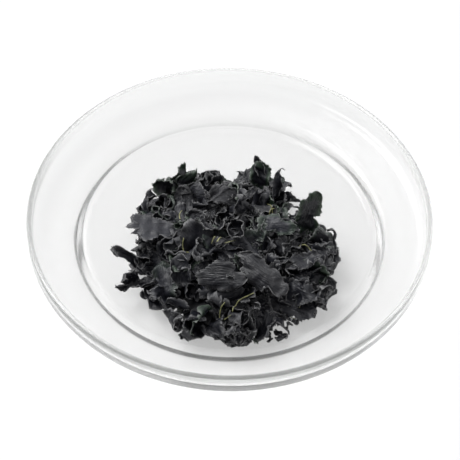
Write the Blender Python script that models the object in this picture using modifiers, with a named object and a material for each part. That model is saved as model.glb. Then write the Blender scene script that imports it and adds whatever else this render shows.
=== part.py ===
"""Dried cut wakame heaped in a shallow dish of clear glass.

Frame: metres, +Z up, origin at the middle of the dish's flat underside.
The heap's near side, which lies closest to the well wall, faces -Y.
"""

import math
import random

import bmesh
import bpy
from mathutils import Matrix, Vector, noise

MM = 0.001

# Dish, turned about Z. Heights are above the table.
RIM_RADIUS = 65.0 * MM
RIM_HEIGHT = 14.5 * MM
LIP_WALL = 2.4 * MM
BASE_RADIUS = 49.2 * MM      # outer edge of the flat underside, before its heel is rounded
BASE_THICKNESS = 3.2 * MM
WELL_RADIUS = 46.8 * MM      # inner corner of the well floor
SHOULDER_RADIUS = 48.8 * MM  # where the well wall turns out into the brim
SHOULDER_HEIGHT = 6.9 * MM
BRIM_RISE = 1.5 * MM         # how far the brim climbs from shoulder to lip
BRIM_WALL = 2.9 * MM
WELL_WALL = 1.9 * MM         # how much further out the well's outer wall meets the brim
LIP_DRAFT = 0.9 * MM         # how far the lip's inner wall leans outwards
LIP_ROUND = 1.1 * MM
DISH_STEPS = 60

# Heap of leaves: a dome whose middle stands nearer the viewer than the dish's.
CONTACT_GAP = 0.3 * MM
HEAP_FLOOR = BASE_THICKNESS + CONTACT_GAP
HEAP_CENTRE = Vector((0.0, -10.5 * MM))
HEAP_RADIUS = 30.0 * MM      # of the core, as is the height; its leaves reach further
HEAP_HEIGHT = 14.0 * MM
HEAP_REACH = 45.2 * MM       # no leaf goes further than this from the dish's axis
ROOT_REACH = 0.93            # share of the core's radius past which leaves no longer sink
CORE_LUMP = 1.6 * MM
CORE_LUMP_SIZE = 8.0 * MM
CORE_CUT = 0.02              # height of the flat cut through the unit ball that it starts as

LEAF_THICKNESS = 0.8 * MM
SHOWN_CELLS = (5, 3)         # facets along and across a leaf
FILLER_CELLS = (4, 2)
LEAF_RUFFLE = (0.7 * MM, 1.6 * MM)
LEAF_TORN_END = 0.3          # largest share that a tear takes off a leaf's end
LEAF_TORN_SIDE = 0.5         # and off its side
LEAF_OFFSET = 0.25           # share of its length that a leaf sits ahead of its place
LEAF_SINK = 0.6 * MM         # how far off the dome a filler leaf's middle lies
FILLER_LEAVES = 52
FILLER_LENGTH = (11.0 * MM, 16.5 * MM)
FILLER_WIDTH = (0.6, 0.9)    # as a share of the length
FILLER_PITCH = (4.0, 38.0)   # degrees, as are the next three
FILLER_BANK = (-45.0, 45.0)
FILLER_ARCH = (40.0, 115.0)
FILLER_CURL = (-40.0, 70.0)
FILLER_SPREAD = 0.86         # share of the core's radius that their roots cover
FOOT_LEAVES = 22             # fillers in a ring that hides the core's foot
FOOT_SPREAD = 0.97
FOOT_PITCH = (18.0, 44.0)
FOOT_SWING = 0.7             # radians that such a leaf may turn from pointing outwards
SEED = 11

# The leaves that stand out, as (x, y, heading, pitch, bank, length, width, arch, curl, lift).
# x and y are the leaf's place on the dome in mm; heading turns its long side from +X,
# pitch raises its far end, bank tips it sideways, arch and curl are how far it bends
# across and along itself, all in degrees; lift is how far it stands off the dome in mm.
SHOWN_LEAVES = (
    (3.5, -29.0, -8, 4, 6, 25.0, 14.0, 70, 40, 1.4),      # broad folded leaf in front
    (-27.5, -8.5, 8, -16, -14, 15.0, 9.5, 40, 25, 2.6),   # flat leaf at the left
    (-31.0, -13.0, 168, 48, 10, 13.0, 4.6, 120, -80, 1.6),  # hooked stalk at the left
    (-29.0, -26.0, -28, 6, 18, 14.5, 11.0, 80, 30, 1.2),  # bulky leaf low at the left
    (2.0, -11.5, -75, 24, 0, 10.0, 15.5, 285, 10, 2.8),   # rolled tube with an open mouth
    (5.0, -3.5, 20, 10, 20, 12.0, 12.0, 170, 80, 2.6),    # curled leaf behind the tube
    (-14.5, 10.0, 15, 20, 62, 11.0, 10.0, 60, 30, 4.2),   # upright leaves at the back left
    (-6.5, 12.0, -20, 8, 66, 10.0, 9.0, 70, 40, 3.6),
    (9.5, 11.5, 70, 48, 24, 13.0, 8.0, 90, 40, 3.6),      # spikes at the back
    (17.5, 9.0, 55, 46, 30, 12.5, 7.0, 90, 30, 4.0),
    (26.0, 2.5, 64, 22, 48, 12.5, 9.5, 60, 30, 3.6),      # broad upright leaf at the right
    (33.0, -7.5, -62, 12, 40, 13.0, 5.5, 110, 110, 3.4),  # hook at the right
    (25.5, -20.5, 12, 8, -10, 13.5, 9.5, 110, 30, 2.2),   # shell-shaped leaf
    (25.0, -31.0, -40, 4, 8, 11.0, 8.5, 90, 60, 1.6),     # rounded leaf low at the right
    (-15.5, -25.0, 96, 34, 0, 11.5, 10.5, 150, 20, 2.6),  # leaf rolled to a cone
    (-28.5, 8.0, 58, 30, 0, 10.5, 4.2, 100, 60, 3.4),     # twig at the upper left
    (-14.0, -1.0, 30, 12, -24, 13.0, 10.0, 110, 60, 2.6),
    (16.5, -11.0, -15, 14, 20, 13.5, 10.5, 100, 50, 2.8),
    (-17.5, -35.0, -35, 2, 22, 13.5, 10.0, 60, 40, 0.2),   # row of leaves along the near foot
    (-7.5, -37.5, -80, 4, 8, 13.0, 9.0, 70, 50, 0.2),
    (3.5, -38.5, -94, 6, 10, 13.0, 9.5, 90, 40, 0.2),
    (14.0, -36.5, -66, 6, 12, 12.0, 9.0, 80, 50, 0.2),
)
LEAF_CLEARANCE = 4.5 * MM    # a filler leaf nearer than this to a shown one is left out


def make_material(name, colour, roughness, transmission=0.0):
    material = bpy.data.materials.new(name)
    material.use_nodes = True
    shader = material.node_tree.nodes["Principled BSDF"]
    shader.inputs["Base Color"].default_value = (*colour, 1.0)
    shader.inputs["Roughness"].default_value = roughness
    shader.inputs["Metallic"].default_value = 0.0
    shader.inputs["Transmission Weight"].default_value = transmission
    return material


def rounded_corner(before, corner, after, radius, segments):
    """Points of the arc that rounds one corner of an outline in the XZ plane."""
    to_before = (before - corner).normalized()
    to_after = (after - corner).normalized()
    half_angle = to_before.angle(to_after) / 2
    centre = corner + (to_before + to_after).normalized() * (radius / math.sin(half_angle))
    start = (corner + to_before * (radius / math.tan(half_angle)) - centre).normalized()
    end = (corner + to_after * (radius / math.tan(half_angle)) - centre).normalized()
    return [centre + start.slerp(end, step / segments) * radius for step in range(segments + 1)]


def dish_profile():
    """Half section of the dish, from the well's middle over the rim to the underside's.

    Each corner is (x, z, radius of its rounding, number of segments in it).
    """
    lip_inner = RIM_RADIUS - LIP_WALL
    brim_top = SHOULDER_HEIGHT + BRIM_RISE
    corners = (
        (0.0, BASE_THICKNESS, 0.0, 0),
        (WELL_RADIUS, BASE_THICKNESS, 2.4 * MM, 2),
        (SHOULDER_RADIUS, SHOULDER_HEIGHT, 1.8 * MM, 2),
        (lip_inner - LIP_DRAFT, brim_top, 4.0 * MM, 3),
        (lip_inner, RIM_HEIGHT, LIP_ROUND, 2),
        (RIM_RADIUS, RIM_HEIGHT, LIP_ROUND, 2),
        (RIM_RADIUS, brim_top - BRIM_WALL, 3.2 * MM, 3),
        (SHOULDER_RADIUS + WELL_WALL, SHOULDER_HEIGHT - BRIM_WALL, 1.2 * MM, 1),
        (BASE_RADIUS, 0.0, 2.0 * MM, 2),
        (0.0, 0.0, 0.0, 0),
    )
    points = [Vector((x, 0.0, z)) for x, z, _, _ in corners]
    outline = [points[0]]
    for index in range(1, len(corners) - 1):
        _, _, radius, segments = corners[index]
        outline += rounded_corner(*points[index - 1:index + 2], radius, segments)
    return outline + [points[-1]]


def build_dish(collection):
    outline = dish_profile()
    mesh = bpy.data.meshes.new("glass_dish")
    edges = [(index, index + 1) for index in range(len(outline) - 1)]
    mesh.from_pydata(outline, edges, [])
    dish = bpy.data.objects.new("glass_dish", mesh)
    collection.objects.link(dish)
    turn = dish.modifiers.new("Turn", "SCREW")
    turn.axis = "Z"
    turn.angle = math.tau
    turn.steps = DISH_STEPS
    turn.render_steps = DISH_STEPS
    turn.use_merge_vertices = True
    turn.merge_threshold = 0.00005
    turn.use_smooth_shade = True
    mesh.materials.append(make_material("clear_glass", (0.94, 0.96, 0.95), 0.03, 1.0))
    return dish


def dome_frame(x, y, heading):
    """Matrix whose X axis follows the heading on the dome and whose Z axis leaves it."""
    outward = Vector((x, y)) - HEAP_CENTRE
    reach = min(outward.length / HEAP_RADIUS, ROOT_REACH)
    level = math.sqrt(1.0 - reach ** 2)
    slope = HEAP_HEIGHT / HEAP_RADIUS * reach / level
    normal = Vector((*(outward.normalized() * slope), 1.0)).normalized()
    along = Vector((math.cos(heading), math.sin(heading), 0.0))
    along = (along - normal * along.dot(normal)).normalized()
    turn = Matrix((along, normal.cross(along), normal)).transposed().to_4x4()
    return Matrix.Translation((x, y, HEAP_FLOOR + HEAP_HEIGHT * level)) @ turn


def build_core(collection):
    """Lumpy dome with a flat bottom that holds the leaves."""
    body = bmesh.new()
    bmesh.ops.create_uvsphere(body, u_segments=30, v_segments=16, radius=1.0)
    bmesh.ops.bisect_plane(
        body, geom=body.verts[:] + body.edges[:] + body.faces[:], dist=1e-6,
        plane_co=(0, 0, CORE_CUT), plane_no=(0, 0, 1), clear_inner=True)
    rim = [edge for edge in body.edges if edge.is_boundary]
    bmesh.ops.contextual_create(body, geom=rim)
    for vertex in body.verts:
        level = max(0.0, vertex.co.z - CORE_CUT)
        spread = Vector((vertex.co.x, vertex.co.y)) * HEAP_RADIUS
        bulge = noise.noise(Vector((*spread, level * HEAP_RADIUS)) / CORE_LUMP_SIZE)
        vertex.co.xy = HEAP_CENTRE + spread * (1.0 + 0.05 * bulge)
        vertex.co.z = HEAP_FLOOR + level * HEAP_HEIGHT + (bulge * CORE_LUMP if level else 0.0)
    mesh = bpy.data.meshes.new("wakame_heap")
    body.to_mesh(mesh)
    body.free()
    core = bpy.data.objects.new("wakame_heap", mesh)
    collection.objects.link(core)
    return core


def bend(flat, lift, angle, half_size):
    """Roll a strip coordinate onto an arc; returns the bent coordinate and its height."""
    if abs(angle) < 1e-4:
        return flat, lift
    radius = half_size * 2 / angle
    turn = flat / radius
    return (radius - lift) * math.sin(turn), radius - (radius - lift) * math.cos(turn)


def settle_in_dish(points):
    """Move a leaf as a whole until it clears the well's floor and its wall."""
    rise = max(0.0, HEAP_FLOOR - min(point.z for point in points))
    furthest = max(points, key=lambda point: point.xy.length).xy
    back = furthest.normalized() * max(0.0, furthest.length - HEAP_REACH)
    for point in points:
        point.z += rise
        point.xy -= back


def add_leaf(collection, place, length, width, arch, curl, cells, draw):
    """One dried leaf: a thin plate with torn edges, ruffled and rolled as a whole."""
    leaf = bmesh.new()
    bmesh.ops.create_grid(leaf, x_segments=cells[0], y_segments=cells[1], size=1.0)
    for vertex in leaf.verts:
        along, across = vertex.co.x, vertex.co.y
        torn_end = LEAF_TORN_END * draw.random() if abs(along) > 0.9 else 0.0
        torn_side = LEAF_TORN_SIDE * draw.random() if abs(across) > 0.9 else 0.0
        taper = 1.0 - 0.5 * abs(along) ** 2.4
        vertex.co.x = along * length / 2 * (1.0 - torn_end) * (1.0 - 0.12 * across ** 2)
        vertex.co.y = across * width / 2 * (1.0 - torn_side) * taper
    bmesh.ops.triangulate(leaf, faces=leaf.faces[:])
    bmesh.ops.solidify(leaf, geom=leaf.faces[:], thickness=LEAF_THICKNESS)
    bmesh.ops.recalc_face_normals(leaf, faces=leaf.faces[:])

    phase = draw.uniform(0.0, math.tau)
    ruffle = draw.uniform(*LEAF_RUFFLE)
    for vertex in leaf.verts:
        along, across = vertex.co.x * 2 / length, vertex.co.y * 2 / width
        wave = ruffle * across ** 2 * math.sin(4.2 * along + phase + across)
        y, height = bend(vertex.co.y, vertex.co.z + wave, arch, width / 2)
        x, height = bend(vertex.co.x, height, curl, length / 2)
        vertex.co = place @ Vector((x, y, height))
    settle_in_dish([vertex.co for vertex in leaf.verts])
    mesh = bpy.data.meshes.new("leaf")
    leaf.to_mesh(mesh)
    leaf.free()
    collection.objects.link(bpy.data.objects.new("leaf", mesh))


def add_shown_leaves(collection, draw):
    for x, y, heading, pitch, bank, length, width, arch, curl, lift in SHOWN_LEAVES:
        place = dome_frame(x * MM, y * MM, math.radians(heading))
        place @= Matrix.Rotation(-math.radians(pitch), 4, "Y")
        place @= Matrix.Rotation(math.radians(bank), 4, "X")
        place @= Matrix.Translation((0.0, 0.0, lift * MM))
        add_leaf(collection, place, length * MM, width * MM,
                 math.radians(arch), math.radians(curl), SHOWN_CELLS, draw)


def add_filler(collection, spot, heading, pitch_range, draw):
    """A leaf of no particular shape, rooted in the core, unless a shown one is near."""
    pitch = math.radians(draw.uniform(*pitch_range))
    bank = math.radians(draw.uniform(*FILLER_BANK))
    length = draw.uniform(*FILLER_LENGTH)
    width = length * draw.uniform(*FILLER_WIDTH)
    arch = math.radians(draw.uniform(*FILLER_ARCH))
    curl = math.radians(draw.uniform(*FILLER_CURL))
    shown = [Vector((leaf[0], leaf[1])) * MM for leaf in SHOWN_LEAVES]
    if min((spot - other).length for other in shown) < LEAF_CLEARANCE:
        return
    place = dome_frame(*spot, heading)
    place @= Matrix.Rotation(-pitch, 4, "Y") @ Matrix.Rotation(bank, 4, "X")
    place @= Matrix.Translation((LEAF_OFFSET * length, 0.0, LEAF_SINK))
    add_leaf(collection, place, length, width, arch, curl, FILLER_CELLS, draw)


def add_filler_leaves(collection, draw):
    """Leaves spread evenly over the dome, then a ring of them round its foot."""
    golden_turn = math.pi * (3.0 - math.sqrt(5.0))
    for index in range(FILLER_LEAVES):
        share = math.sqrt((index + 0.5) / FILLER_LEAVES)
        outward = index * golden_turn
        spot = HEAP_CENTRE + Vector((math.cos(outward), math.sin(outward))) * (
            share * FILLER_SPREAD * HEAP_RADIUS)
        heading = outward + draw.uniform(-1.0, 1.0) * math.radians(180.0 - 100.0 * share ** 2)
        add_filler(collection, spot, heading, FILLER_PITCH, draw)
    for index in range(FOOT_LEAVES):
        outward = index * math.tau / FOOT_LEAVES
        spot = HEAP_CENTRE + Vector((math.cos(outward), math.sin(outward))) * (
            FOOT_SPREAD * HEAP_RADIUS)
        heading = outward + draw.uniform(-FOOT_SWING, FOOT_SWING)
        add_filler(collection, spot, heading, FOOT_PITCH, draw)


def keep_largest_piece(mesh):
    """Delete every loose piece but the largest, inner walls of sealed hollows included."""
    body = bmesh.new()
    body.from_mesh(mesh)
    unseen = set(body.verts)
    pieces = []
    while unseen:
        piece, to_visit = set(), [unseen.pop()]
        while to_visit:
            vertex = to_visit.pop()
            piece.add(vertex)
            for edge in vertex.link_edges:
                other = edge.other_vert(vertex)
                if other in unseen:
                    unseen.remove(other)
                    to_visit.append(other)
        pieces.append(piece)
    largest = max(pieces, key=len)
    scraps = [vertex for vertex in body.verts if vertex not in largest]
    bmesh.ops.delete(body, geom=scraps, context="VERTS")
    body.to_mesh(mesh)
    body.free()


def build_heap(collection):
    core = build_core(collection)
    leaves = bpy.data.collections.new("heap_leaves")
    bpy.context.scene.collection.children.link(leaves)
    draw = random.Random(SEED)
    add_shown_leaves(leaves, draw)
    add_filler_leaves(leaves, draw)

    join = core.modifiers.new("Join leaves", "BOOLEAN")
    join.operation = "UNION"
    join.operand_type = "COLLECTION"
    join.collection = leaves
    join.solver = "MANIFOLD"
    depsgraph = bpy.context.evaluated_depsgraph_get()
    joined = bpy.data.meshes.new_from_object(core.evaluated_get(depsgraph))
    core.modifiers.remove(join)
    for leaf in leaves.objects[:]:
        bpy.data.objects.remove(leaf)
    bpy.data.collections.remove(leaves)

    keep_largest_piece(joined)
    joined.name = "wakame_heap"
    joined.materials.clear()
    joined.materials.append(make_material("dried_seaweed", (0.032, 0.034, 0.036), 0.62))
    core.data = joined
    return core


def main():
    for old in bpy.data.objects[:]:
        bpy.data.objects.remove(old)
    collection = bpy.data.collections.new("dried_cut_wakame_in_glass_dish")
    bpy.context.scene.collection.children.link(collection)
    build_dish(collection)
    build_heap(collection)


main()
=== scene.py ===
import math

import bmesh
import bpy
import numpy as np
from mathutils import Matrix, Quaternion, Vector


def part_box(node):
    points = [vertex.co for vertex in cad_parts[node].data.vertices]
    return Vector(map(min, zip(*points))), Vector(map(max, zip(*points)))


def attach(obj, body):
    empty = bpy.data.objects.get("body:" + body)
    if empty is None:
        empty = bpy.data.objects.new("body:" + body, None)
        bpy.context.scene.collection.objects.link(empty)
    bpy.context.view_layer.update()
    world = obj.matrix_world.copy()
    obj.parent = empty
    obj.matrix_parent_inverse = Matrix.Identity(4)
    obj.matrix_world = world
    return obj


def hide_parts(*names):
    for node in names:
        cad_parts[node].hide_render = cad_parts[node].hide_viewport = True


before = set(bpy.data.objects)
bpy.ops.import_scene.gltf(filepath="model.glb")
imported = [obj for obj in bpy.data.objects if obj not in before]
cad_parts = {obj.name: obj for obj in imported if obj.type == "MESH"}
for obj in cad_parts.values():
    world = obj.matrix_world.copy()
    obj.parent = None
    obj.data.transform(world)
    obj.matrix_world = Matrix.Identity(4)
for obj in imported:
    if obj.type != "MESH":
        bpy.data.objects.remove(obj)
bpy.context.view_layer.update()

# lengths in the dictionaries are in mm, apart from the stage's, and angles in degrees
mm = 0.001
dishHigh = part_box("glass_dish")[1]
rimRadius = dishHigh.x


def newMaterial(name):
    material = bpy.data.materials.new(name)
    material.use_nodes = True
    tree = material.node_tree
    return material, tree, tree.nodes["Principled BSDF"]


def ramp(tree, source, stops):
    node = tree.nodes.new("ShaderNodeValToRGB")
    while len(node.color_ramp.elements) < len(stops):
        node.color_ramp.elements.new(0.5)
    for element, (position, colour) in zip(node.color_ramp.elements, stops):
        element.position = position
        element.color = (*colour, 1.0)
    tree.links.new(source, node.inputs["Fac"])
    return node.outputs["Color"]


def noiseTexture(tree, vector, scale, detail=4.0, rough=0.55, bend=0.0):
    node = tree.nodes.new("ShaderNodeTexNoise")
    node.inputs["Distortion"].default_value = bend
    node.inputs["Scale"].default_value = scale
    node.inputs["Detail"].default_value = detail
    node.inputs["Roughness"].default_value = rough
    tree.links.new(vector, node.inputs["Vector"])
    return node.outputs["Fac"]


def mixColour(tree, share, first, second):
    node = tree.nodes.new("ShaderNodeMix")
    node.data_type = "RGBA"
    for socket, value in ((0, share), (6, first), (7, second)):
        if isinstance(value, (tuple, float)):
            node.inputs[socket].default_value = value if isinstance(value, float) else (*value, 1.0)
        else:
            tree.links.new(value, node.inputs[socket])
    return node.outputs[2]


def mathNode(tree, operation, first, second=0.0, third=0.0):
    node = tree.nodes.new("ShaderNodeMath")
    node.operation = operation
    for socket, value in enumerate((first, second, third)):
        if isinstance(value, float):
            node.inputs[socket].default_value = value
        else:
            tree.links.new(value, node.inputs[socket])
    return node.outputs[0]


# stops run from the middle, 0, to the rim's top edge, 1; the tints grow paler towards the rim, partly
# for the thinner glass there and partly as painted light that brightens the brim and rim
glassLook = dict(
    tintsAndPaintedLight=((0.72, 0.693), (0.82, 0.735), (0.93, 0.745), (1.0, 0.83)),
    # paintedGlows is painted glow: light that the glass gives off near the rim, though it is no lamp
    paintedGlows=((0.9, 0.012), (0.95, 0.035), (1.0, 0.045)), paintedGlowColour=(0.95, 1.0, 0.95),
    roughness=0.2, ior=1.35)


def glassMaterial():
    material, tree, shader = newMaterial("clearGlass")
    away = tree.nodes.new("ShaderNodeVectorMath")   # paler glass towards the rim: partly the thin rim letting more light through, partly painted light on the brim and rim
    away.operation = "LENGTH"
    tree.links.new(tree.nodes.new("ShaderNodeTexCoord").outputs["Object"], away.inputs[0])
    share = mathNode(tree, "DIVIDE", away.outputs["Value"], math.hypot(rimRadius, dishHigh.z))
    clear = [(stop, (value,) * 3) for stop, value in glassLook["tintsAndPaintedLight"]]
    tree.links.new(ramp(tree, share, clear), shader.inputs["Base Color"])
    shader.inputs["Roughness"].default_value = glassLook["roughness"]
    shader.inputs["IOR"].default_value = glassLook["ior"]
    shader.inputs["Transmission Weight"].default_value = 1.0
    paintedGlows = [(stop, tuple(value * part for part in glassLook["paintedGlowColour"]))
             for stop, value in glassLook["paintedGlows"]]
    tree.links.new(ramp(tree, share, paintedGlows), shader.inputs["Emission Color"])   # painted glow: the glass gives off light of its own, most near the rim
    shader.inputs["Emission Strength"].default_value = 1.0
    return material


# edge is the colour of the leaves' pale rims: partly their own paler torn edges, partly painted
# highlight where curled edges catch the light
seaweedLook = dict(
    dark=(0.0028, 0.003, 0.0052), pale=(0.0145, 0.0158, 0.0225), edge=(0.31, 0.31, 0.31),
    green=(0.017, 0.066, 0.011), toneSpan=(0.3, 1.15), blotch=260.0, blotchDepth=0.7,
    edgePatch=420.0, edgePower=5.0, veins=(170.0, 1100.0, 1.0), veinDepth=-0.45,
    wrinkle=900.0, wrinkleDepth=0.5, grain=3200.0, grainDepth=0.12,
    roughness=(0.36, 0.52), gloss=0.46, bump=0.36)


def seaweedMaterial():
    look = seaweedLook
    material, tree, shader = newMaterial("driedSeaweed")
    place = tree.nodes.new("ShaderNodeTexCoord").outputs["Object"]
    marks = {}
    for name in ("edge", "tone", "green"):
        node = tree.nodes.new("ShaderNodeAttribute")
        node.attribute_name = name
        marks[name] = node.outputs["Fac"]
    blotches = noiseTexture(tree, place, look["blotch"])
    shade = mathNode(tree, "MULTIPLY_ADD", blotches, look["blotchDepth"], marks["tone"])
    darkest, palest = look["toneSpan"]
    body = ramp(tree, shade, ((darkest, look["dark"]), (palest, look["pale"])))
    body = mixColour(tree, marks["green"], body, look["green"])
    # the rims are painted lighter in patches: partly the leaves' own pale edges, partly painted
    # highlight
    rim = mathNode(tree, "POWER", marks["edge"], look["edgePower"])
    paleRimAndHighlight = mathNode(tree, "MULTIPLY", rim, noiseTexture(tree, place, look["edgePatch"]))
    tree.links.new(mixColour(tree, paleRimAndHighlight, body, look["edge"]), shader.inputs["Base Color"])

    sheet = tree.nodes.new("ShaderNodeUVMap")
    sheet.uv_map = "leaf"
    stretch = tree.nodes.new("ShaderNodeMapping")
    stretch.inputs["Scale"].default_value = look["veins"]
    tree.links.new(sheet.outputs["UV"], stretch.inputs["Vector"])
    veins = noiseTexture(tree, stretch.outputs["Vector"], 1.0, 3.0, 0.5, 0.5)
    veins = mathNode(tree, "ABSOLUTE", mathNode(tree, "MULTIPLY_ADD", veins, 4.0, -2.0))   # sharp folds
    veins = mathNode(tree, "MULTIPLY", veins, look["veinDepth"])
    wrinkles = noiseTexture(tree, place, look["wrinkle"], 3.0)
    wrinkles = mathNode(tree, "MULTIPLY_ADD", wrinkles, look["wrinkleDepth"], veins)
    grain = noiseTexture(tree, place, look["grain"], 2.0)
    relief = mathNode(tree, "MULTIPLY_ADD", grain, look["grainDepth"], wrinkles)
    bump = tree.nodes.new("ShaderNodeBump")
    bump.inputs["Distance"].default_value = look["bump"] * mm
    tree.links.new(relief, bump.inputs["Height"])
    tree.links.new(bump.outputs["Normal"], shader.inputs["Normal"])
    shader.inputs["Specular IOR Level"].default_value = look["gloss"]
    low, high = look["roughness"]
    rough = tree.nodes.new("ShaderNodeMapRange")
    rough.inputs["To Min"].default_value = low
    rough.inputs["To Max"].default_value = high
    tree.links.new(wrinkles, rough.inputs["Value"])
    tree.links.new(rough.outputs["Result"], shader.inputs["Roughness"])
    return material


# radii and heights of the turned outline, then the rounding of its corners
dishLook = dict(
    base=50.1, floor=3.2, well=46.6, shoulder=48.8, shoulderHeight=6.9, brimRise=1.5,
    brimWall=3.5, wellWall=1.4, lipWall=1.6, lipDraft=0.3,
    wellRound=3.3, shoulderRound=3.3, brimRound=2.4, lipRound=0.78, rimRound=5.0,
    underRound=1.2, heelRound=0.8, steps=144)


def roundedCorner(before, corner, after, radius, segments):
    toBefore, toAfter = (before - corner).normalized(), (after - corner).normalized()
    half = toBefore.angle(toAfter) / 2
    middle = corner + (toBefore + toAfter).normalized() * (radius / math.sin(half))
    start = (corner + toBefore * (radius / math.tan(half)) - middle).normalized()
    end = (corner + toAfter * (radius / math.tan(half)) - middle).normalized()
    return [middle + start.slerp(end, step / segments) * radius for step in range(segments + 1)]


def makeDish():
    look = dishLook
    rim, height = rimRadius / mm, dishHigh.z / mm
    brim = look["shoulderHeight"] + look["brimRise"]
    corners = (   # radius, height, rounding and the segments of its arc
        (0, look["floor"], 0, 0),
        (look["well"], look["floor"], look["wellRound"], 10),
        (look["shoulder"], look["shoulderHeight"], look["shoulderRound"], 10),
        (rim - look["lipWall"] - look["lipDraft"], brim, look["brimRound"], 8),
        (rim - look["lipWall"], height, look["lipRound"], 8),
        (rim, height, look["lipRound"], 8),
        (rim, brim - look["brimWall"], look["rimRound"], 10),
        (look["shoulder"] + look["wellWall"], look["shoulderHeight"] - look["brimWall"],
         look["underRound"], 5),
        (look["base"], 0, look["heelRound"], 6),
        (0, 0, 0, 0))
    points = [Vector((x, 0, z)) for x, z, _, _ in corners]
    outline = [points[0]]
    for index in range(1, len(corners) - 1):
        outline += roundedCorner(*points[index - 1:index + 2], *corners[index][2:])
    outline.append(points[-1])

    body = bmesh.new()
    ring = [body.verts.new(point * mm) for point in outline]
    edges = [body.edges.new(pair) for pair in zip(ring[:-1], ring[1:])]
    bmesh.ops.spin(body, geom=ring + edges, cent=(0, 0, 0), axis=(0, 0, 1), angle=2 * math.pi,
                   steps=look["steps"], use_merge=True)
    bmesh.ops.remove_doubles(body, verts=body.verts[:], dist=0.00001)
    bmesh.ops.recalc_face_normals(body, faces=body.faces[:])
    return finishPiece("clearDish", body, glassMaterial(), "glass_dish")


def finishPiece(name, body, material, node):
    mesh = body
    if isinstance(body, bmesh.types.BMesh):
        mesh = bpy.data.meshes.new(name)
        body.to_mesh(mesh)
        body.free()
    mesh.shade_smooth()
    mesh.materials.append(material)
    piece = bpy.data.objects.new(name, mesh)
    bpy.context.scene.collection.objects.link(piece)
    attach(piece, "root")
    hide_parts(node)
    print("made", name, len(mesh.polygons), "faces")
    return piece


# a leaf starts as a flat sheet with a torn outline, which is folded, rolled and relaxed: these are
# the values that all kinds of leaf share
sheetLook = dict(
    cornerDrift=0.35, notchBreadth=(0.08, 0.3), notchDepth=(0.05, 0.5), leastReach=0.35,
    teethSpan=(-1, 0.4), waves=5, waveSpan=(0.6, 1.6), foldPlace=(-0.1, 0.32),
    growthSpan=(0.4, 1.2), puckerSize=3, middleRuffle=0.15, rimRuffle=0.5,
    firstSqueeze=1.5, squeezeTime=0.7, squeezePull=0.35,
    greenShare=0.14, greenSpan=(0.3, 0.9), toneSpan=(0.0, 0.4))


def cutSheets(look, rng):
    count = look["count"]
    nu, nv = look["cells"]
    u, v = np.meshgrid(np.linspace(-1, 1, nu), np.linspace(-1, 1, nv), indexing="ij")
    discX, discY = u * np.sqrt(1 - v * v / 2), v * np.sqrt(1 - u * u / 2)
    ring = np.maximum(abs(u), abs(v))
    angle = np.arctan2(discY, discX)
    corners = look["corners"]
    drift = sheetLook["cornerDrift"]
    spots = np.arange(corners) + rng.uniform(-drift, drift, (count, corners))
    spots = spots * 2 * np.pi / corners
    spots = spots[:, :, None, None] + rng.uniform(0, 2 * np.pi, (count, 1, 1, 1))
    away = rng.uniform(*look["cornerReach"], (count, corners))[:, :, None, None]
    reach = np.zeros((count, nu, nv))
    for corner in range(corners):   # straight torn edges from each corner to the next
        start, end = spots[:, corner], spots[:, (corner + 1) % corners]
        span = np.mod(end - start, 2 * np.pi)
        off = np.mod(angle - start, 2 * np.pi)
        near, far = away[:, corner], away[:, (corner + 1) % corners]
        edge = near * far * np.sin(span) / (near * np.sin(off) + far * np.sin(span - off) + 1e-9)
        reach = np.where(off <= span, edge, reach)
    for _ in range(look["notches"]):
        middle = rng.uniform(-np.pi, np.pi, (count, 1, 1))
        breadth = rng.uniform(*sheetLook["notchBreadth"], (count, 1, 1))
        off = np.angle(np.exp(1j * (angle - middle)))
        depth = rng.uniform(*sheetLook["notchDepth"], (count, 1, 1))
        reach -= depth * np.exp(-(off / breadth) ** 2) * ring ** 2
    teeth = rng.uniform(*sheetLook["teethSpan"], (count, nu, nv)) * look["teeth"]
    reach = np.maximum(reach, sheetLook["leastReach"]) + teeth * (ring > 0.999)
    length = rng.uniform(*look["length"], (count, 1, 1)) * mm
    width = length * rng.uniform(*look["width"], (count, 1, 1))
    return np.stack([discX * reach * length / 2, discY * reach * width / 2], -1), ring, length, width


def waves(x, y, size, rng):
    total = np.zeros_like(x)
    for _ in range(sheetLook["waves"]):
        turn, phase = rng.uniform(0, 2 * np.pi, (2, len(x), 1, 1))
        rate = 2 * np.pi / (size * rng.uniform(*sheetLook["waveSpan"], (len(x), 1, 1)))
        total += np.sin((x * np.cos(turn) + y * np.sin(turn)) * rate + phase)
    return total / math.sqrt(sheetLook["waves"])


def foldSheets(x, y, z, look, size, rng):
    for _ in range(look["folds"]):
        turn = rng.uniform(0, 2 * np.pi, (len(x), 1, 1))
        across, along = np.cos(turn), np.sin(turn)
        place = rng.uniform(*sheetLook["foldPlace"], (len(x), 1, 1)) * size
        away = x * across + y * along - place
        angle = np.radians(rng.uniform(*look["foldAngle"], (len(x), 1, 1)))
        tight = rng.uniform(*look["foldRadius"], (len(x), 1, 1)) * mm
        bent = np.clip(away / tight, 0, angle)
        beyond = np.maximum(away - tight * angle, 0)
        sign = rng.choice([-1.0, 1.0], (len(x), 1, 1))
        level = sign * z
        new = np.where(away < 0, away, (tight - level) * np.sin(bent) + beyond * np.cos(bent))
        rise = np.where(away < 0, level, tight - (tight - level) * np.cos(bent) + beyond * np.sin(bent))
        shift = new - away
        x, y, z = x + shift * across, y + shift * along, sign * rise
    return x, y, z


def rollSheets(flat, z, angle, size):
    angle = np.where(abs(angle) < 1e-3, 1e-3, angle)
    radius = size / angle
    return (radius - z) * np.sin(flat / radius), radius - (radius - z) * np.cos(flat / radius)


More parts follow.
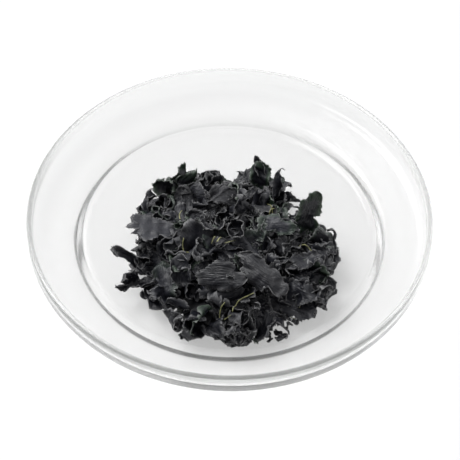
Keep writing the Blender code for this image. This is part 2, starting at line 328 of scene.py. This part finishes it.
def relaxSheets(points, flat, growth, look, squeeze):
    links = ((1, 0, 0.5), (0, 1, 0.5), (1, 1, 0.35), (1, -1, 0.35),
             (2, 0, look["stiff"]), (0, 2, look["stiff"]))
    pairs = []
    for stepU, stepV, pull in links:
        rowA, rowB = slice(0, flat.shape[1] - stepU), slice(stepU, None)
        colA = slice(max(-stepV, 0), flat.shape[2] - max(stepV, 0))
        colB = slice(max(stepV, 0), flat.shape[2] - max(-stepV, 0))
        rest = np.linalg.norm(flat[:, rowB, colB] - flat[:, rowA, colA], axis=-1)
        rest = rest * (growth[:, rowB, colB] + growth[:, rowA, colA]) / 2
        bends = stepU + abs(stepV) == 2 and not stepU * stepV
        pairs.append(((slice(None), rowA, colA), (slice(None), rowB, colB),
                      rest.astype(np.float32)[..., None], pull, bends))
    for step in range(look["steps"]):
        move = np.zeros_like(points)
        for first, second, rest, pull, bends in pairs:
            gap = points[second] - points[first]
            size = np.sqrt((gap * gap).sum(-1, keepdims=True)) + 1e-9
            part = (size - rest) / size
            if bends:
                part = np.minimum(part, 0)
            shift = gap * part * (pull * 0.5)
            move[first] += shift
            move[second] -= shift
        points += move
        share = min(1.0, step / (look["steps"] * sheetLook["squeezeTime"]))
        limit = squeeze[0] * (1 - share) + squeeze[1] * share
        over = np.maximum(np.linalg.norm(points / limit, axis=-1, keepdims=True), 1.0)
        points *= 1 - sheetLook["squeezePull"] * (1 - 1 / over)
    return points


def growLeaves(look):
    rng = np.random.default_rng(look["seed"])
    flat, ring, length, width = cutSheets(look, rng)
    count = look["count"]
    x, y = flat[..., 0], flat[..., 1]
    size = look["ruffleSize"] * mm
    growth = rng.uniform(*sheetLook["growthSpan"], (count, 1, 1))
    growth = 1 + look["growth"] * ring ** 3 * growth
    growth = growth + look["pucker"] * waves(x, y, sheetLook["puckerSize"] * size, rng)
    z = sheetLook["middleRuffle"] + sheetLook["rimRuffle"] * ring
    z = waves(x, y, size, rng) * z * look["ruffle"] * mm
    x, y, z = foldSheets(x, y, z, look, length, rng)
    y, z = rollSheets(y, z, np.radians(rng.uniform(*look["roll"], (count, 1, 1))), width)
    x, z = rollSheets(x, z, np.radians(rng.uniform(*look["curl"], (count, 1, 1))), length)
    twist = np.radians(rng.uniform(*look["twist"], (count, 1, 1))) * x / length
    y, z = y * np.cos(twist) - z * np.sin(twist), y * np.sin(twist) + z * np.cos(twist)
    points = np.stack([x, y, z], -1).astype(np.float32)
    points -= points.mean((1, 2), keepdims=True)
    half = np.concatenate([length, width, width], -1)[:, None] / 2
    squeeze = [(half * np.array(share)).astype(np.float32)
               for share in (sheetLook["firstSqueeze"], look["squeeze"])]
    points = relaxSheets(points, flat, growth, look, squeeze)
    alongU, alongV = np.gradient(points, axis=1), np.gradient(points, axis=2)
    normal = np.cross(alongU, alongV)
    normal /= np.linalg.norm(normal, axis=-1, keepdims=True) + 1e-12
    crease = 0.5 - abs(waves(flat[..., 0], flat[..., 1], look["creaseSize"] * mm, rng))
    points = points + normal * (crease * look["crease"] * mm)[..., None]
    return points - points.mean((1, 2), keepdims=True), flat, ring


# one dictionary for each kind of leaf: spans are drawn from, cells are the sheet's points along
# its length and width, width is a share of the length, squeeze a share of the half sizes
broadLeaves = dict(
    seed=5, count=66, cells=(31, 21), length=(15, 22), width=(0.55, 0.85),
    corners=6, cornerReach=(0.7, 1.25), notches=3, teeth=0.09,
    growth=0.14, pucker=0.03, ruffleSize=6, ruffle=1.2,
    folds=1, foldAngle=(40, 150), foldRadius=(0.8, 1.8),
    roll=(-20, 100), curl=(-40, 60), twist=(-60, 60),
    squeeze=(0.95, 0.9, 0.5), stiff=0.2, crease=0.28, creaseSize=6.0, steps=200)
crumpledLeaves = dict(
    seed=6, count=72, cells=(29, 21), length=(13, 20), width=(0.65, 0.95),
    corners=6, cornerReach=(0.65, 1.3), notches=4, teeth=0.1,
    growth=0.16, pucker=0.06, ruffleSize=6, ruffle=1.5,
    folds=3, foldAngle=(50, 165), foldRadius=(0.5, 1.4),
    roll=(20, 140), curl=(-60, 100), twist=(-90, 90),
    squeeze=(0.85, 0.85, 0.6), stiff=0.15, crease=0.32, creaseSize=5.0, steps=230)
ruffledLeaves = dict(
    seed=7, count=40, cells=(37, 17), length=(14, 21), width=(0.4, 0.62),
    corners=7, cornerReach=(0.65, 1.3), notches=4, teeth=0.11,
    growth=0.34, pucker=0.05, ruffleSize=5, ruffle=1.6,
    folds=2, foldAngle=(30, 130), foldRadius=(0.5, 1.4),
    roll=(0, 90), curl=(-120, 160), twist=(-160, 160),
    squeeze=(0.9, 1.0, 0.9), stiff=0.12, crease=0.25, creaseSize=5.0, steps=230)
rolledLeaves = dict(
    seed=8, count=36, cells=(27, 23), length=(9, 14), width=(0.8, 1.2),
    corners=6, cornerReach=(0.75, 1.2), notches=2, teeth=0.06,
    growth=0.08, pucker=0.04, ruffleSize=5, ruffle=0.9,
    folds=0, foldAngle=(0, 0), foldRadius=(1, 1),
    roll=(240, 420), curl=(-50, 70), twist=(-40, 40),
    squeeze=(0.95, 0.6, 0.6), stiff=0.24, crease=0.2, creaseSize=5.0, steps=180)
shredLeaves = dict(
    seed=9, count=54, cells=(29, 9), length=(8, 16), width=(0.14, 0.32),
    corners=7, cornerReach=(0.7, 1.3), notches=2, teeth=0.12,
    growth=0.18, pucker=0.05, ruffleSize=4, ruffle=0.7,
    folds=1, foldAngle=(30, 120), foldRadius=(0.5, 1.2),
    roll=(60, 220), curl=(-160, 200), twist=(-220, 220),
    squeeze=(0.9, 1.6, 1.6), stiff=0.18, crease=0.15, creaseSize=4.0, steps=160)
crumbLeaves = dict(
    seed=10, count=60, cells=(11, 9), length=(2.5, 6), width=(0.4, 0.9),
    corners=5, cornerReach=(0.6, 1.4), notches=1, teeth=0.15,
    growth=0.2, pucker=0.06, ruffleSize=2, ruffle=0.5,
    folds=1, foldAngle=(30, 120), foldRadius=(0.4, 0.8),
    roll=(0, 160), curl=(-100, 140), twist=(-120, 120),
    squeeze=(0.85, 0.9, 0.8), stiff=0.2, crease=0.05, creaseSize=1.2, steps=120)


# the leaves are dropped one by one on a height map, where the heap lacks most: first the map's
# cells, then the heap's core, the room that a leaf may take, and how a leaf is chosen and sinks
heapLook = dict(
    seed=21, cell=0.5, cells=192, low=(-48, -52), blunt=0.8, blur=5, foot=0.8,
    core=0.9, coreInset=2.5, coreShrink=9, coreSkin=0.3, coreFoot=0.2,
    reach=46.6, wellFlat=45.2, wellRise=0.5, gap=0.2, top=25.3, proud=3.5, tall=5.5,
    viewSteps=7, room=2.0, skip=1.5, clash=0.08, clashGap=0.2,
    layerHeight=6.0, jitter=0.3, enough=-1.5, tries=(3, 9), tilt=42, sink=92,
    proudShare=90, overShare=96, topWeight=0.25, thickness=0.15)
# the mounds that the heap is made of: x, y, height over the well floor, radius
heapMounds = (
    (0, -11, 18.5, 27), (-12, 8, 15.5, 11), (8, 10, 17, 11), (21, -5, 11, 10.5),
    (-20.5, -11.5, 11, 11), (-18.5, -24.5, 8.5, 12), (21.5, -24, 10, 13), (3, -29, 14, 14),
    (4, -41.5, 8.5, 9.5), (-10, -38, 7.5, 10.5), (12, -38, 7.5, 9.5), (27.5, -11, 9.5, 8),
    (-25, -18, 9, 8), (-21, -30, 6.5, 7), (-22, 4.5, 11, 8))


def blurred(field, cells):
    for axis in (0, 1):
        field = sum(np.roll(field, step, axis) for step in range(-cells, cells + 1))
        field = field / (2 * cells + 1)
    return field


class HeightMap:
    def __init__(self, look):
        self.cell = look["cell"] * mm
        self.low = np.array(look["low"]) * mm
        steps = np.arange(look["cells"]) * self.cell
        self.x, self.y = np.meshgrid(steps + self.low[0], steps + self.low[1], indexing="ij")
        floor = dishLook["floor"] * mm
        rise = np.zeros_like(self.x)
        for x, y, height, radius in heapMounds:
            share = np.hypot(self.x - x * mm, self.y - y * mm) / (radius * mm)
            rise = np.maximum(rise, height * mm * np.clip(1 - share ** 2, 0, 1) ** look["blunt"])
        rise = blurred(rise, look["blur"])
        self.wanted = floor + rise
        inner = rise
        for axis in (0, 1):
            shifts = range(-look["coreShrink"], look["coreShrink"] + 1)
            inner = np.min([np.roll(inner, step, axis) for step in shifts], axis=0)
        self.level = floor + np.maximum(inner * look["core"] - look["coreInset"] * mm, 0)
        self.layers = np.where(rise > look["foot"] * mm, 0.0, 99.0)
        self.core = self.level.copy()
        self.cover = np.full_like(rise, 1.0)   # lowest height of the placed leaves that must show

    def cells(self, points):
        spots = np.floor((points[:, :2] - self.low) / self.cell).astype(int)
        spots = np.clip(spots, 0, heapLook["cells"] - 1)
        return spots[:, 0], spots[:, 1]

    def under(self, points):
        return self.level[self.cells(points)]

    def wantedUnder(self, points):
        return self.wanted[self.cells(points)]

    def keepClear(self, points):
        slope = math.tan(math.radians(cameraLook["height"]))
        for step in range(heapLook["viewSteps"]):   # also along the line of sight to it
            shift = np.array([0.0, -step * self.cell, step * self.cell * slope])
            np.minimum.at(self.cover, self.cells(points + shift), points[:, 2] + shift[2])

    def clash(self, points):
        return np.mean(points[:, 2] > self.cover[self.cells(points)] - heapLook["clashGap"] * mm)

    def lay(self, points):
        spots = self.cells(points)
        np.maximum.at(self.level, spots, points[:, 2])
        covered = np.zeros(self.layers.shape, bool)
        covered[spots] = True
        self.layers += covered

    def emptiest(self, rng):
        lack = (self.wanted - self.level) / (heapLook["layerHeight"] * mm)
        jitter = rng.uniform(-heapLook["jitter"], heapLook["jitter"], lack.shape)
        need = lack - self.layers + jitter
        need = np.where(self.cover < self.level + heapLook["room"] * mm, -9.0, need)
        best = np.unravel_index(np.argmax(need), need.shape)
        return self.x[best], self.y[best], need[best]

    def skip(self, x, y):
        self.layers += np.hypot(self.x - x, self.y - y) < heapLook["skip"] * mm


def turned(points, rng, tilt):
    spin = Matrix.Rotation(rng.uniform(0, 2 * math.pi), 3, "Z")
    lean = Matrix.Rotation(math.radians(rng.normal(0, tilt)), 3, "X")
    pitch = Matrix.Rotation(math.radians(rng.normal(0, tilt)), 3, "Y")
    flip = Matrix.Rotation(math.pi * rng.integers(0, 2), 3, "X")
    return points @ np.array(spin @ lean @ pitch @ flip).T


def keepInDish(points):
    reach = heapLook["reach"] * mm
    away = np.hypot(points[:, 0], points[:, 1])
    far = np.argmax(away)
    if away[far] > reach:
        points[:, :2] -= points[far, :2] * (1 - reach / away[far])
    return points


def restInWell(points):
    away = np.hypot(points[:, 0], points[:, 1])
    rise = np.clip(away - heapLook["wellFlat"] * mm, 0, None) * heapLook["wellRise"]   # rounded edge
    glass = (dishLook["floor"] + heapLook["gap"]) * mm + rise
    points[:, 2] += max(0.0, (glass - points[:, 2]).max())
    return points


def dropLeaf(points, x, y, heap, look, rng):
    best, bestLevel = None, 1e9
    for _ in range(rng.integers(*look["tries"])):
        trial = turned(points, rng, look["tilt"])
        trial[:, 0] += x
        trial[:, 1] += y
        trial = keepInDish(trial)
        trial[:, 2] += np.percentile(heap.under(trial) - trial[:, 2], look["sink"])
        rise = trial[:, 2] - heap.wantedUnder(trial)
        proud = np.percentile(rise, look["proudShare"]) - look["proud"] * mm
        tall = rise.max() - look["tall"] * mm
        over = np.percentile(trial[:, 2] - heap.cover[heap.cells(trial)], look["overShare"])
        trial[:, 2] -= max(0.0, proud, tall, over, trial[:, 2].max() - look["top"] * mm)
        trial = restInWell(trial)
        level = trial[:, 2].mean() + look["topWeight"] * trial[:, 2].max()
        if level < bestLevel and heap.clash(trial) < look["clash"]:
            best, bestLevel = trial, level
    if best is not None:
        heap.lay(best)
    return best


def joinLeaves(name, leaves, material):
    verts, quads, flats, marks = [], [], [], {"edge": [], "tone": [], "green": []}
    start = 0
    for leaf in leaves:
        nu, nv = leaf["cells"]
        index = np.arange(nu * nv).reshape(nu, nv) + start
        quads.append(np.stack([index[:-1, :-1], index[1:, :-1], index[1:, 1:], index[:-1, 1:]],
                              -1).reshape(-1, 4))
        verts.append(leaf["points"])
        flats.append(leaf["flat"])
        marks["edge"].append(leaf["edge"])
        marks["tone"].append(np.full(nu * nv, leaf["tone"]))
        marks["green"].append(leaf["green"])
        start += nu * nv
    mesh = bpy.data.meshes.new(name)
    mesh.from_pydata(np.concatenate(verts).tolist(), [], np.concatenate(quads).tolist())
    uv = mesh.uv_layers.new(name="leaf")
    corners = np.empty(len(mesh.loops), int)
    mesh.loops.foreach_get("vertex_index", corners)
    uv.data.foreach_set("uv", np.concatenate(flats)[corners].ravel().astype(np.float32))
    for mark, values in marks.items():
        layer = mesh.attributes.new(mark, "FLOAT", "POINT")
        layer.data.foreach_set("value", np.concatenate(values).astype(np.float32))
    piece = finishPiece(name, mesh, material, "wakame_heap")
    wall = piece.modifiers.new("thickness", "SOLIDIFY")
    wall.thickness = heapLook["thickness"] * mm
    wall.offset = 0.0
    return piece


def sheetLeaf(kind, sheet, flat, ring, rng, tone=None, green=None):
    if green is None:
        isGreen = rng.random() < sheetLook["greenShare"]
        green = rng.uniform(*sheetLook["greenSpan"]) if isGreen else 0.0
    return dict(cells=kind["cells"], points=sheet.reshape(-1, 3).astype(float),
                flat=flat.reshape(-1, 2) + rng.uniform(-1, 1, 2), edge=ring.ravel() ** 2,
                tone=rng.uniform(*sheetLook["toneSpan"]) if tone is None else tone,
                green=np.clip(ring.ravel() * 1.4 - 0.7, 0, 1) * green)


# leaves that the photo shows plainly: the middle's x, y, z in mm, then heading, pitch and bank
# in degrees, and what differs from the kind that it is made of
shownLeaves = (
    (broadLeaves, (-2.5, -30.0, 18.8), -6, 8, 36, dict(
        length=(18, 18), width=(0.6, 0.6), folds=0, roll=(-60, -60), curl=(-25, -25),
        growth=0.07, ruffle=0.7, notches=1, crease=0.16)),
    (broadLeaves, (10.0, -29.5, 19.3), -38, -6, 26, dict(
        length=(21, 21), width=(0.6, 0.6), folds=1, foldAngle=(100, 100), roll=(-150, -150),
        curl=(-20, -20), twist=(0, 0), growth=0.1, ruffle=0.9, crease=0.2)),
    (broadLeaves, (-25.5, -9.5, 17.0), 8, -6, -2, dict(
        length=(20, 20), width=(0.8, 0.8), corners=5, cornerReach=(0.6, 1.25), notches=6,
        teeth=0.16, folds=0, roll=(14, 14), curl=(-15, -15), twist=(0, 0), growth=0.05,
        ruffle=0.6, crease=0.06, tone=0.45)),
    # this tube's tone of -0.3 paints it darker than the other leaves: painted shade for its dark inside
    (rolledLeaves, (2.0, -13.5, 21.0), -86, 42, 0, dict(
        length=(10, 10), width=(1.55, 1.55), roll=(335, 335), curl=(0, 0), twist=(0, 0),
        notches=0, tone=-0.3)),
    (rolledLeaves, (-5.0, -10.0, 20.0), -100, 38, 0, dict(
        length=(12, 12), width=(1.3, 1.3), roll=(230, 230), curl=(10, 10), twist=(0, 0))),
    (crumpledLeaves, (4.7, -3.3, 21.0), 30, 10, 20, dict(
        length=(15, 15), roll=(200, 200), curl=(90, 90))),
    (shredLeaves, (-32.5, -18.0, 12.3), 160, 30, 0, dict(
        length=(16, 16), width=(0.36, 0.36), curl=(-170, -170), roll=(90, 90))),
    (crumpledLeaves, (-29.5, -25.0, 8.7), 195, 4, 14, dict(
        length=(18, 18), roll=(60, 60), curl=(20, 20))),
    (rolledLeaves, (-15.0, -25.5, 15.0), 96, 42, 0, dict(
        length=(12, 12), width=(1.0, 1.0), roll=(170, 170), curl=(-20, -20))),
    (broadLeaves, (25.0, 0.5, 13.0), 64, 50, 60, dict(
        length=(17, 17), width=(0.8, 0.8), folds=0, roll=(40, 40), green=1.0)),
    (shredLeaves, (32.5, -12.0, 9.0), -104, -20, 30, dict(
        length=(20, 20), width=(0.3, 0.3), curl=(60, 60), roll=(100, 100))),
    (broadLeaves, (24.0, -20.5, 15.0), 20, 12, -16, dict(
        length=(15, 15), width=(0.8, 0.8), roll=(130, 130), curl=(40, 40), folds=0)),
    (broadLeaves, (22.5, -30.0, 10.5), -40, 6, 36, dict(
        length=(13, 13), width=(0.8, 0.8), roll=(-90, -90), curl=(-60, -60), folds=0)),
    (ruffledLeaves, (15.0, -10.5, 20.0), -14, 4, 24, dict(
        length=(16, 16), width=(0.6, 0.6), roll=(-40, -40), folds=0, crease=0.2,
        curl=(-20, -20), twist=(0, 0), tone=0.6)),
    (crumpledLeaves, (-15.0, 11.0, 18.0), 80, 60, 20, dict(length=(16, 16), green=0.7)),
    (crumpledLeaves, (-6.0, 11.5, 17.0), 60, 56, 60, dict(length=(14, 14))),
    (broadLeaves, (9.5, 11.0, 18.5), 75, 62, 20, dict(
        length=(14, 14), width=(0.6, 0.6), roll=(80, 80), green=0.9)),
    (shredLeaves, (9.5, 12.5, 20.0), 110, 60, 0, dict(
        length=(12, 12), width=(0.3, 0.3), curl=(-60, -60), folds=0)),
    (shredLeaves, (15.0, 8.5, 19.0), 76, 60, 0, dict(
        length=(14, 14), width=(0.32, 0.32), curl=(-30, -30), folds=0, settle=1.6)),
    (shredLeaves, (-26.5, 6.0, 12.0), 118, 40, 0, dict(
        length=(16, 16), width=(0.26, 0.26), curl=(50, 50))),
    (crumpledLeaves, (-21.0, 10.0, 13.5), 70, 60, 20, dict(length=(13, 13), green=0.7)),
    (crumpledLeaves, (-4.5, -43.0, 6.5), -10, -4, 30, dict(length=(15, 15))),
    (broadLeaves, (12.0, -42.0, 6.0), -100, -6, 20, dict(
        length=(14, 14), width=(0.8, 0.8), roll=(40, 40), folds=0)),
    (crumpledLeaves, (-16.5, -39.5, 6.5), 150, -6, 20, dict(length=(15, 15))),
    (broadLeaves, (21.5, -33.0, 6.5), -30, 0, 24, dict(
        length=(15, 15), width=(0.6, 0.6), notches=7, teeth=0.2, folds=0)),
)


def placeShown(heap, rng):
    leaves = []
    for number, (kind, middle, heading, pitch, bank, change) in enumerate(shownLeaves):
        look = {**kind, **change, "count": 1, "seed": 100 + number}
        sheets, flat, ring = growLeaves(look)
        leaf = sheetLeaf(look, sheets[0], flat[0], ring, rng, look.get("tone"), look.get("green"))
        turn = (Matrix.Rotation(math.radians(heading), 3, "Z")
                @ Matrix.Rotation(-math.radians(pitch), 3, "Y")
                @ Matrix.Rotation(math.radians(bank), 3, "X"))
        points = leaf["points"] @ np.array(turn).T + np.array(middle) * mm
        points = keepInDish(points)
        points[:, 2] -= max(0.0, points[:, 2].max() - heapLook["top"] * mm)
        points = restInWell(points)
        leaf["points"] = points
        heap.keepClear(points)
        points[:, 2] -= look.get("settle", 0.0) * mm   # down onto the leaves that came under it
        leaves.append(leaf)
    return leaves


crumbLook = dict(footShare=0.75, low=2.5, high=7.0, tilt=30, sink=24, clash=0.3)


def dropCrumbs(heap, rng):
    crumbs = []
    sheets, flats, ring = growLeaves(crumbLeaves)
    rise = heap.wanted - dishLook["floor"] * mm
    foot = np.argwhere((rise > crumbLook["low"] * mm) & (rise < crumbLook["high"] * mm))
    anywhere = np.argwhere(rise > crumbLook["low"] * mm)
    for sheet, flat in zip(sheets, flats):
        spots = foot if rng.random() < crumbLook["footShare"] else anywhere
        spot = tuple(spots[rng.integers(len(spots))])
        leaf = sheetLeaf(crumbLeaves, sheet, flat, ring, rng)
        points = turned(leaf["points"], rng, crumbLook["tilt"])
        points[:, :2] += (heap.x[spot], heap.y[spot])
        points = keepInDish(points)
        points[:, 2] += np.percentile(heap.under(points) - points[:, 2], crumbLook["sink"])
        points = restInWell(points)
        fits = points[:, 2].max() < heapLook["top"] * mm
        if fits and heap.clash(points) < crumbLook["clash"]:
            leaf["points"] = points
            heap.lay(points)
            crumbs.append(leaf)
    return crumbs


fibreLook = dict(
    radius=0.11, steps=22, sides=7, lift=-0.15, sway=0.125, bridge=4, smooth=3,
    colour=(0.36, 0.36, 0.16), streak=700.0, streakDark=0.3, roughness=0.55)
# pale fibres and torn rims on the heap: the ends' and middle's x, y in mm
shownFibres = (
    ((21.5, -12.5), (25.5, -13.0), (27.0, -18.0)), ((1.5, -39.5), (3.0, -36.0), (8.0, -35.5)),
    ((-5.5, -20.0), (-2.5, -17.5), (2.0, -16.5)), ((-3.5, -15.5), (-2.5, -18.0), (-4.0, -21.0)),
    ((-1.0, -37.0), (-2.5, -40.0), (1.0, -42.0)), ((-15.0, -2.5), (-16.0, -4.5), (-15.5, -6.5)),
    ((12.0, -0.5), (13.5, -2.5), (12.0, -5.0)), ((14.0, -1.0), (12.5, -3.5), (14.5, -4.5)),
    ((-14.0, -15.0), (-14.5, -17.5), (-12.5, -20.0)), ((18.0, -33.0), (21.0, -34.5), (22.5, -31.5)))


def fibreMaterial():
    material, tree, shader = newMaterial("paleFibre")
    place = tree.nodes.new("ShaderNodeTexCoord").outputs["Object"]
    streaks = noiseTexture(tree, place, fibreLook["streak"])
    dark = tuple(fibreLook["streakDark"] * part for part in fibreLook["colour"])
    colour = ramp(tree, streaks, ((0.35, dark), (0.65, fibreLook["colour"])))
    tree.links.new(colour, shader.inputs["Base Color"])
    shader.inputs["Roughness"].default_value = fibreLook["roughness"]
    return material


def layFibres(heap, rng):
    look = fibreLook
    steps, sides = look["steps"], look["sides"]
    along = np.linspace(0, 1, steps)[:, None]
    around = np.linspace(0, 2 * np.pi, sides)
    fibres = []
    for start, middle, end in np.array(shownFibres) * mm:
        path = start * (1 - along) * (1 - 2 * along) + middle * 4 * along * (1 - along)
        path = path + end * along * (2 * along - 1)   # a parabola through the three places
        path += rng.normal(0, look["sway"] * mm, path.shape)
        height = heap.under(path)
        for _ in range(look["bridge"]):
            height = np.maximum(height, np.convolve(np.pad(height, 2, "edge"), np.ones(5) / 5, "valid"))
        line = np.column_stack([path, height])
        for _ in range(look["smooth"]):
            line[1:-1] = (line[:-2] + 2 * line[1:-1] + line[2:]) / 4
        line[:, 2] += look["lift"] * mm - (line[:, 2] - heap.under(line)).min()
        tangent = np.gradient(line, axis=0)
        side = np.cross(tangent, (0, 0, 1.0))
        side /= np.linalg.norm(side, axis=1, keepdims=True)
        up = np.cross(side, tangent)
        up /= np.linalg.norm(up, axis=1, keepdims=True)
        width = look["radius"] * mm * np.sqrt(np.clip(1 - (2 * along - 1) ** 6, 0.02, 1))
        ring = side[:, None] * np.cos(around)[:, None] + up[:, None] * np.sin(around)[:, None]
        points = line[:, None] + ring * width[:, None]
        flat = np.stack(np.meshgrid(along[:, 0], around, indexing="ij"), -1)
        kind = dict(cells=(steps, sides))
        fibres.append(sheetLeaf(kind, points, flat, np.zeros((steps, sides)), rng, 0.0, 0.0))
    return fibres


def pourHeap(material):
    look = heapLook
    rng = np.random.default_rng(look["seed"])
    heap = HeightMap(look)
    makeCore(heap, material)
    joinLeaves("shownLeaves", placeShown(heap, rng), material)
    stock = []
    kinds = (("broadLeaves", broadLeaves), ("crumpledLeaves", crumpledLeaves),
             ("ruffledLeaves", ruffledLeaves), ("rolledLeaves", rolledLeaves),
             ("shredLeaves", shredLeaves))
    for name, kind in kinds:
        sheets, flats, ring = growLeaves(kind)
        stock += [(name, sheetLeaf(kind, sheet, flat, ring, rng))
                  for sheet, flat in zip(sheets, flats)]
        print("grew", name, len(sheets))
    placed = {name: [] for name, _ in kinds}
    for number in rng.permutation(len(stock)):
        name, leaf = stock[number]
        x, y, need = heap.emptiest(rng)
        if need < look["enough"]:
            print("heap full")
            break
        points = dropLeaf(leaf["points"], x, y, heap, look, rng)
        if points is not None:
            leaf["points"] = points
            placed[name].append(leaf)
        else:
            heap.skip(x, y)
    placed["crumbLeaves"] = dropCrumbs(heap, rng)
    for name, group in placed.items():
        print(name, len(group), "placed")
        joinLeaves(name, group, material)
    joinLeaves("paleFibres", layFibres(heap, rng), fibreMaterial())


def makeCore(heap, material):
    body = bmesh.new()
    side = heapLook["cells"] // 2
    bmesh.ops.create_grid(body, x_segments=side, y_segments=side, size=0.5)
    span = heapLook["cells"] * heap.cell
    middle = heap.low + span / 2
    for vertex in body.verts:
        x, y = vertex.co.x * span + middle[0], vertex.co.y * span + middle[1]
        spot = heap.cells(np.array([[x, y]]))
        vertex.co = (x, y, heap.core[spot][0] - heapLook["coreSkin"] * mm)
    floor = dishLook["floor"] * mm
    flat = [face for face in body.faces if max(vert.co.z for vert in face.verts) < floor]
    bmesh.ops.delete(body, geom=flat, context="FACES")
    rim = [edge for edge in body.edges if edge.is_boundary]
    walls = bmesh.ops.extrude_edge_only(body, edges=rim)["geom"]
    for vertex in walls:
        if isinstance(vertex, bmesh.types.BMVert):
            vertex.co.z = floor + heapLook["coreFoot"] * mm
    return finishPiece("heapCore", body, material, "wakame_heap")


# the room's light grows along axis, from low to high, with other values for what glass shows.
# Here the lengths are in metres
stageLook = dict(
    floor=0.32, glow=0.58, size=4.0, drop=0.0003, roughness=0.9, axis=(-0.15, 0.75, 0.64),
    low=-0.35, high=0.6, dim=(0.05, 0.05, 0.06), bright=(1.15, 1.15, 1.17),
    glassLow=-0.75, glassHigh=-0.15, glassDim=(0.42, 0.42, 0.42), glassBright=(1.6, 1.6, 1.6),
    key=7.0, lamp=(-0.44, 0.32, 0.84), lampSize=0.5)


def gradedLight(tree, low, high, dim, bright):
    facing = tree.nodes.new("ShaderNodeVectorMath")
    facing.operation = "DOT_PRODUCT"
    facing.inputs[1].default_value = stageLook["axis"]
    tree.links.new(tree.nodes.new("ShaderNodeTexCoord").outputs["Generated"], facing.inputs[0])
    spread = tree.nodes.new("ShaderNodeMapRange")
    spread.interpolation_type = "SMOOTHSTEP"
    spread.inputs["From Min"].default_value = low
    spread.inputs["From Max"].default_value = high
    tree.links.new(facing.outputs["Value"], spread.inputs["Value"])
    return mixColour(tree, spread.outputs["Result"], dim, bright)


def makeSet():
    look = stageLook
    body = bmesh.new()
    bmesh.ops.create_grid(body, x_segments=1, y_segments=1, size=look["size"])
    bmesh.ops.translate(body, verts=body.verts[:], vec=(0, 0, -look["drop"]))
    mesh = bpy.data.meshes.new("floor")
    body.to_mesh(mesh)
    body.free()
    material, tree, shader = newMaterial("paleFloor")
    shader.inputs["Base Color"].default_value = (*[look["floor"]] * 3, 1.0)
    shader.inputs["Emission Color"].default_value = (1.0, 1.0, 1.0, 1.0)
    shader.inputs["Emission Strength"].default_value = look["glow"]
    shader.inputs["Roughness"].default_value = look["roughness"]
    shader.inputs["Specular IOR Level"].default_value = 0.0
    mesh.materials.append(material)
    floor = bpy.data.objects.new("floor", mesh)
    bpy.context.scene.collection.objects.link(floor)

    world = bpy.data.worlds.new("softRoom")
    world.use_nodes = True
    tree = world.node_tree
    room = gradedLight(tree, look["low"], look["high"], look["dim"], look["bright"])
    behindGlass = gradedLight(tree, look["glassLow"], look["glassHigh"], look["glassDim"],
                              look["glassBright"])   # the white card that glass is shot in front of
    through = tree.nodes.new("ShaderNodeLightPath").outputs["Is Transmission Ray"]
    sky = mixColour(tree, through, room, behindGlass)
    tree.links.new(sky, tree.nodes["Background"].inputs["Color"])
    bpy.context.scene.world = world
    light = bpy.data.lights.new("window", "AREA")
    light.energy = look["key"]
    light.size = look["lampSize"]
    lamp = bpy.data.objects.new("window", light)
    lamp.location = look["lamp"]
    lamp.rotation_mode = "QUATERNION"
    lamp.rotation_quaternion = (-lamp.location).to_track_quat("-Z", "Y")
    bpy.context.scene.collection.objects.link(lamp)
    bpy.context.scene.view_settings.view_transform = "Standard"


# height is the angle over the floor, distance is in rim radii
cameraLook = dict(
    height=50.45, distance=8.0, roll=1.1, lens=125.2, sensor=36.0, aim=(0.13, 0.0, 4.6))


def makeCamera():
    look = cameraLook
    data = bpy.data.cameras.new("photoView")
    data.lens = look["lens"]
    data.sensor_width = look["sensor"]
    data.clip_start = 0.01
    camera = bpy.data.objects.new("photoView", data)
    tilt = math.radians(look["height"])
    back = Vector((0, -math.cos(tilt), math.sin(tilt)))
    camera.location = Vector(look["aim"]) * mm + back * look["distance"] * rimRadius
    camera.rotation_mode = "QUATERNION"
    camera.rotation_quaternion = ((-back).to_track_quat("-Z", "Y")
                                  @ Quaternion((0, 0, 1), math.radians(look["roll"])))
    bpy.context.scene.collection.objects.link(camera)
    bpy.context.scene.camera = camera


makeCamera()
makeSet()
seaweed = seaweedMaterial()
dish = makeDish()
dish.visible_shadow = False   # clear glass lets the light through to the floor
pourHeap(seaweed)
